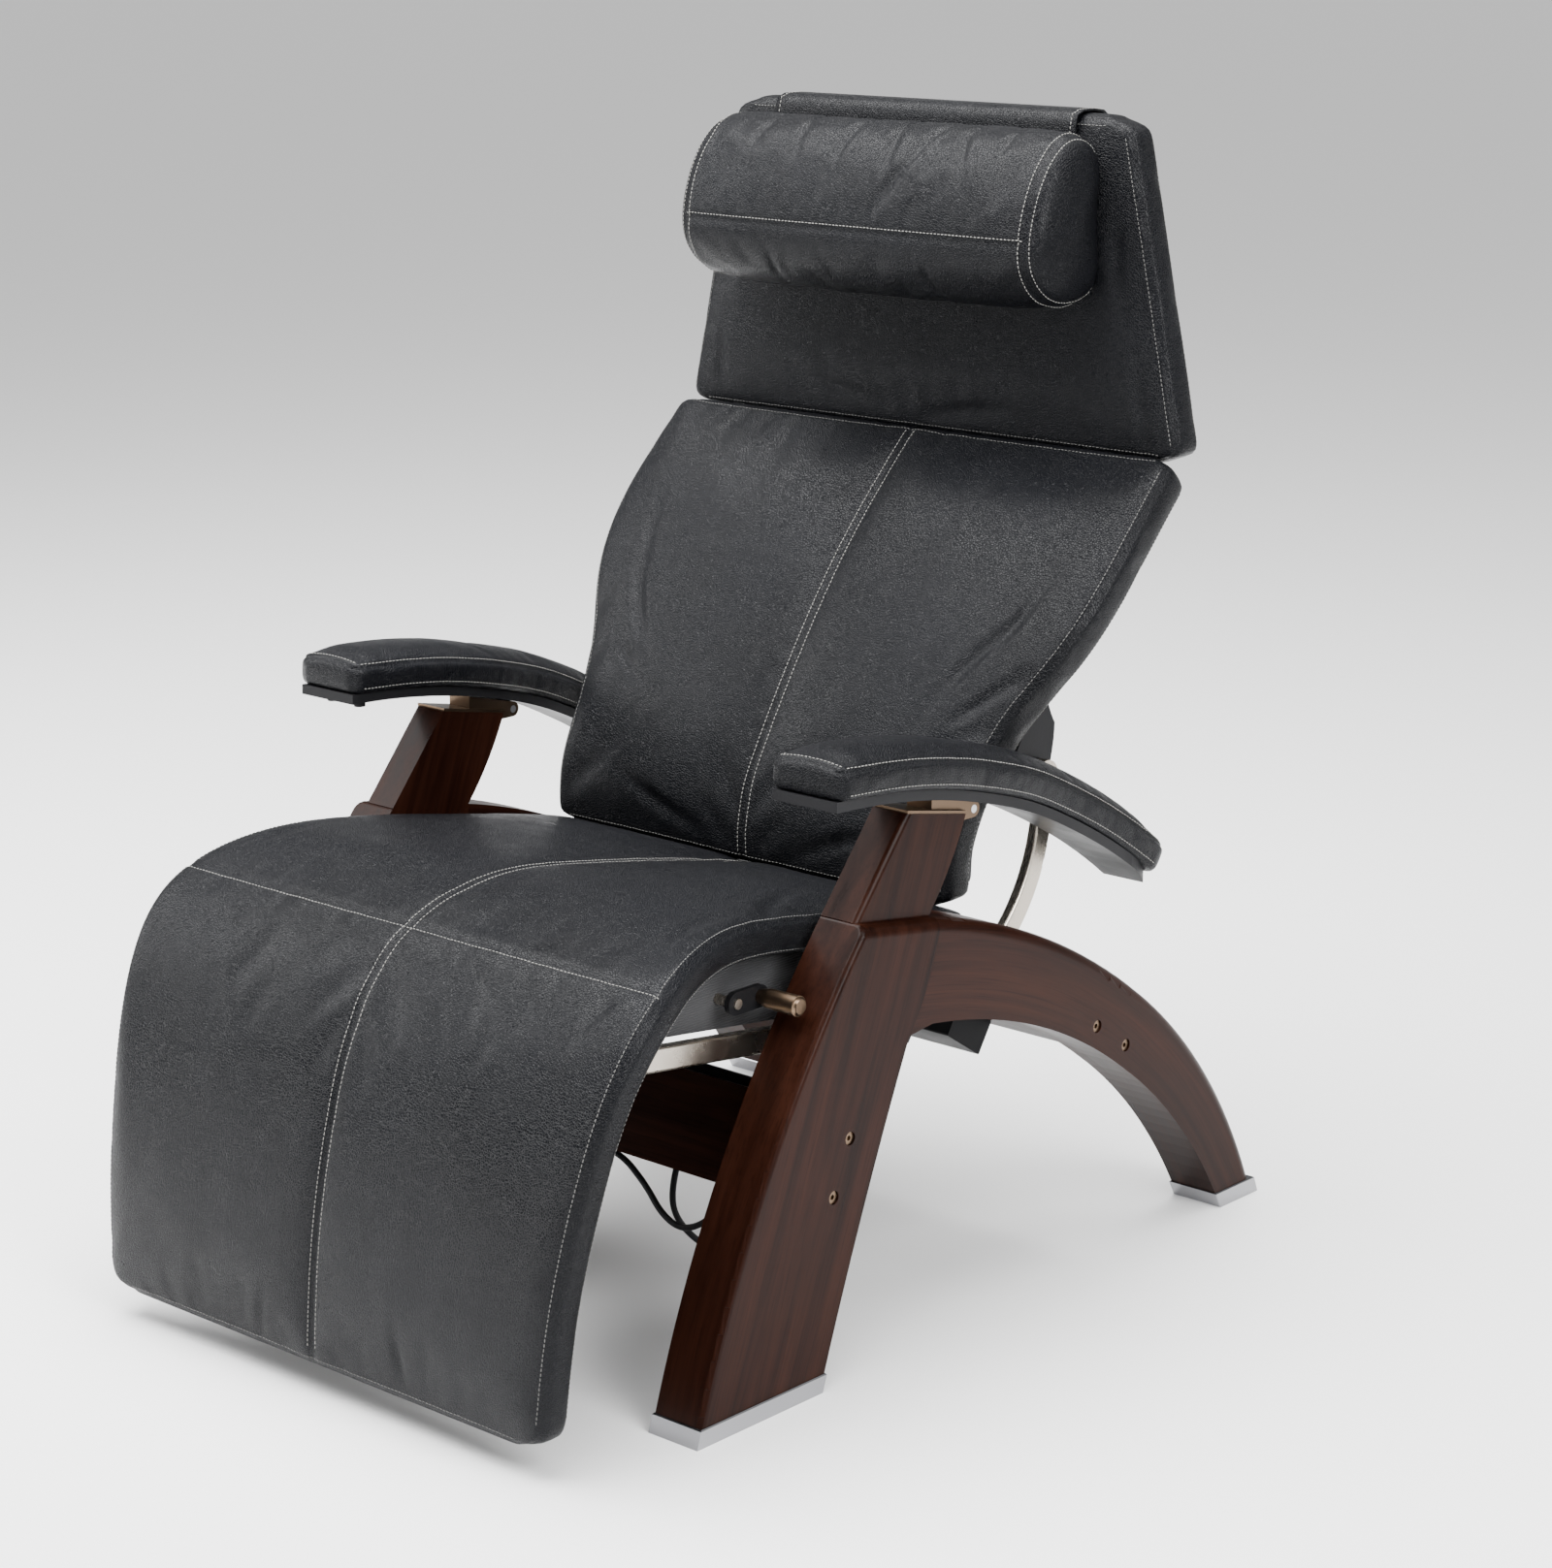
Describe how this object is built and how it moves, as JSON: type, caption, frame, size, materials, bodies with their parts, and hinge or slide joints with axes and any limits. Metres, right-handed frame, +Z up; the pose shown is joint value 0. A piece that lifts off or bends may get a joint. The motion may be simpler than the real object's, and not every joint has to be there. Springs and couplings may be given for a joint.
{
  "type": "zero gravity recliner",
  "caption": "Recliner with padded seat, legrest, back and head pillow that tilt together on an arched wooden base by an electric actuator.",
  "frame": {"origin": "centre of the overall bounding box, at the floor under the feet", "axes": "+Z up, the sitter faces -Y, +X towards the sitter's left"},
  "size_m": [0.74, 1.0402, 1.1475],
  "materials": {
    "black_leather": "pebbled black upholstery leather, satin",
    "stained_wood": "dark walnut stain under semi-gloss varnish",
    "chrome": "polished chrome plate",
    "nickel_steel": "satin nickel plate with a warm tint",
    "bronze": "dark bronze plate",
    "black_steel": "satin black powder coat",
    "zinc_steel": "bright zinc plate",
    "black_plastic": "fine-grained black plastic",
    "black_fabric": "woven black backing cloth",
    "beech": "plain turned beech",
    "cable_rubber": "matt black cable sheath"
  },
  "bodies": {
    "base": {"left_front_leg": "stained_wood", "right_front_leg": "stained_wood", "left_rear_arch": "stained_wood", "right_rear_arch": "stained_wood", "front_foot_caps": "chrome", "rear_foot_caps": "chrome", "front_stretcher": "stained_wood", "rear_stretcher": "stained_wood", "frame_bolts": "bronze", "barrel_nuts": "zinc_steel", "joint_dowels": "beech", "pivot_flanges": "bronze", "pivot_pins": "bronze", "flange_screws": "zinc_steel", "left_arm_hinge_block": "bronze", "right_arm_hinge_block": "bronze", "arm_pins": "zinc_steel", "actuator_bracket": "black_steel", "actuator_anchor_pin": "zinc_steel", "actuator_gearbox": "black_plastic", "actuator_motor": "black_plastic", "control_box": "black_plastic", "supply_box": "black_plastic", "cable_glands": "black_plastic", "supply_cable": "cable_rubber", "harness_cable": "cable_rubber"},
    "seat_frame": {"seat_legrest_pad": "black_leather", "seat_base": "black_fabric", "legrest_board": "black_fabric", "left_side_rail": "nickel_steel", "right_side_rail": "nickel_steel", "hanger_plates": "nickel_steel", "front_cross_tube": "nickel_steel", "pivot_cross_tube": "nickel_steel", "drive_lever": "black_steel", "back_hinge_shaft": "nickel_steel", "lock_lever_pin": "nickel_steel"},
    "back": {"back_pad": "black_leather", "back_shell": "black_fabric", "back_brackets": "black_steel", "head_pad": "black_leather", "head_board": "black_fabric", "head_bars": "black_steel", "pillow_strap": "black_leather"},
    "pillow": {"head_pillow": "black_leather"},
    "counterweight": {"strap_weight": "black_leather"},
    "left_arm": {"left_arm_pad": "black_leather", "left_arm_panel": "black_plastic", "left_arm_tongue": "black_steel"},
    "right_arm": {"right_arm_pad": "black_leather", "right_arm_panel": "black_plastic", "right_arm_tongue": "black_steel"},
    "left_inner_button": {"left_inner_button": "black_plastic"},
    "left_outer_button": {"left_outer_button": "black_plastic"},
    "right_inner_button": {"right_inner_button": "black_plastic"},
    "right_outer_button": {"right_outer_button": "black_plastic"},
    "lock_lever": {"lock_lever_arm": "black_steel", "lock_lever_grip": "bronze"},
    "rod": {"actuator_rod": "zinc_steel", "actuator_drive_pin": "zinc_steel"}
  },
  "joints": [
    {"name": "recline", "type": "hinge", "parent": "base", "child": "seat_frame", "pos_m": [0, -0.03, 0.36], "axis": [1, 0, 0], "range_deg": [-27, 0]},
    {"name": "back_recline", "type": "hinge", "parent": "seat_frame", "child": "back", "pos_m": [0, 0.236, 0.5], "axis": [1, 0, 0], "range_deg": [-10.8, 0]},
    {"name": "left_arm_tilt", "type": "hinge", "parent": "base", "child": "left_arm", "pos_m": [0.314, 0.05, 0.514], "axis": [1, 0, 0], "range_deg": [-13.5, 0]},
    {"name": "right_arm_tilt", "type": "hinge", "parent": "base", "child": "right_arm", "pos_m": [-0.314, 0.05, 0.514], "axis": [1, 0, 0], "range_deg": [-13.5, 0]},
    {"name": "rod_slide", "type": "slide", "parent": "base", "child": "rod", "axis": [0, -1, 0], "range_m": [0, 0.0491]},
    {"name": "pillow_slide", "type": "slide", "parent": "back", "child": "pillow", "axis": [0, 0, -1], "range_m": [0, 0.12]},
    {"name": "weight_slide", "type": "slide", "parent": "back", "child": "counterweight", "axis": [0, 0, 1], "range_m": [0, 0.12]},
    {"name": "lock_lever_turn", "type": "hinge", "parent": "seat_frame", "child": "lock_lever", "pos_m": [0.28, -0.235, 0.377], "axis": [1, 0, 0], "range_deg": [-35, 0]},
    {"name": "left_inner_button_press", "type": "slide", "parent": "left_arm", "child": "left_inner_button", "axis": [0, 0, 1], "range_m": [0, 0.003], "stiffness_N_per_m": 400, "springref_m": -0.001},
    {"name": "left_outer_button_press", "type": "slide", "parent": "left_arm", "child": "left_outer_button", "axis": [0, 0, 1], "range_m": [0, 0.003], "stiffness_N_per_m": 400, "springref_m": -0.001},
    {"name": "right_inner_button_press", "type": "slide", "parent": "right_arm", "child": "right_inner_button", "axis": [0, 0, 1], "range_m": [0, 0.003], "stiffness_N_per_m": 400, "springref_m": -0.001},
    {"name": "right_outer_button_press", "type": "slide", "parent": "right_arm", "child": "right_outer_button", "axis": [0, 0, 1], "range_m": [0, 0.003], "stiffness_N_per_m": 400, "springref_m": -0.001}
  ],
  "couplings": [
    {"joint": "back_recline", "follows": "recline", "ratio": 0.4},
    {"joint": "left_arm_tilt", "follows": "recline", "ratio": 0.5},
    {"joint": "right_arm_tilt", "follows": "recline", "ratio": 0.5},
    {"joint": "rod_slide", "follows": "recline", "m_per_rad": -0.10403},
    {"joint": "weight_slide", "follows": "pillow_slide", "ratio": 1}
  ]
}
